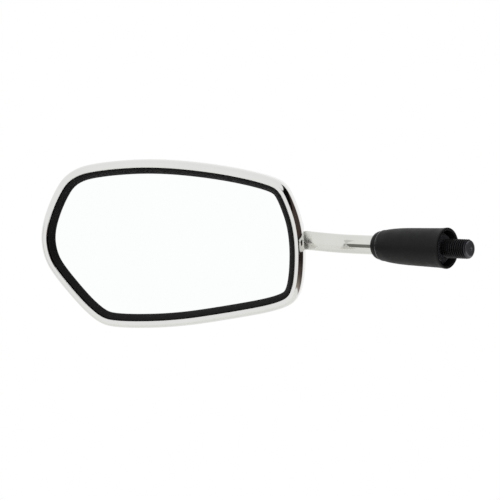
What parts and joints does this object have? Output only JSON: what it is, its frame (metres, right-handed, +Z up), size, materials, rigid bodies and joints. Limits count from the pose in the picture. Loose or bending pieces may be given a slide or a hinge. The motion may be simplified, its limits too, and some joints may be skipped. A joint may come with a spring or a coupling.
{
  "type": "motorcycle mirror",
  "caption": "Six-sided chrome rear-view mirror on a ball joint, with a bent rod stem, rubber boot and threaded adapter stud.",
  "frame": {"origin": "centre of the adapter's shoulder, where the M10 stud leaves it and the handlebar clamp seats", "axes": "+X along the head's long side towards the stem, glass facing -Y, +Z up; the stud points out at 31 degrees from +X towards -Y"},
  "size_m": [0.2322, 0.059, 0.0906],
  "materials": {
    "chrome_plating": "bright mirror chrome plating",
    "black_rubber": "moulded black rubber, satin",
    "silvered_glass": "back-silvered flat mirror glass",
    "black_steel": "black oxide with an oil film",
    "zinc_steel": "bright zinc plating",
    "white_nylon": "moulded natural nylon",
    "dark_plastic": "moulded black plastic",
    "grey_foam": "closed-cell foam sheet"
  },
  "bodies": {
    "mount": {"adapter": "black_steel"},
    "stem": {"stem": "chrome_plating", "pivot_ball": "chrome_plating", "lock_nut": "black_steel"},
    "boot": {"stem_boot": "black_rubber"},
    "inner_liner": {"ball_seat_inner": "white_nylon"},
    "outer_liner": {"ball_seat_outer": "white_nylon"},
    "head": {"front_rim": "chrome_plating", "rear_shell": "chrome_plating", "glass_gasket": "black_rubber", "mirror_glass": "silvered_glass", "foam_pad": "grey_foam", "backing_plate": "dark_plastic", "plate_screw_1": "zinc_steel", "plate_screw_2": "zinc_steel", "plate_screw_3": "zinc_steel", "plate_screw_4": "zinc_steel", "clamp_plate": "zinc_steel", "clamp_washer_upper": "zinc_steel", "clamp_washer_lower": "zinc_steel", "clamp_screw_upper": "zinc_steel", "clamp_screw_lower": "zinc_steel"}
  },
  "joints": [
    {"name": "stem_swivel", "type": "hinge", "parent": "mount", "child": "stem", "pos_m": [0, 0, 0], "axis": [0.8572, -0.515, 0], "range_deg": [-180, 180]},
    {"name": "boot_slide", "type": "slide", "parent": "stem", "child": "boot", "axis": [-0.8572, 0.515, 0], "range_m": [0, 0.015]},
    {"name": "head_pan", "type": "hinge", "parent": "stem", "child": "inner_liner", "pos_m": [-0.08225, 0.03394, 0.00271], "axis": [0.1045, 0, 0.9945], "range_deg": [-10, 10]},
    {"name": "head_roll", "type": "hinge", "parent": "inner_liner", "child": "outer_liner", "pos_m": [-0.08225, 0.03394, 0.00271], "axis": [0, 1, 0], "range_deg": [-10, 10]},
    {"name": "head_tilt", "type": "hinge", "parent": "outer_liner", "child": "head", "pos_m": [-0.08225, 0.03394, 0.00271], "axis": [0.9945, 0, -0.1045], "range_deg": [-180, 180]}
  ]
}
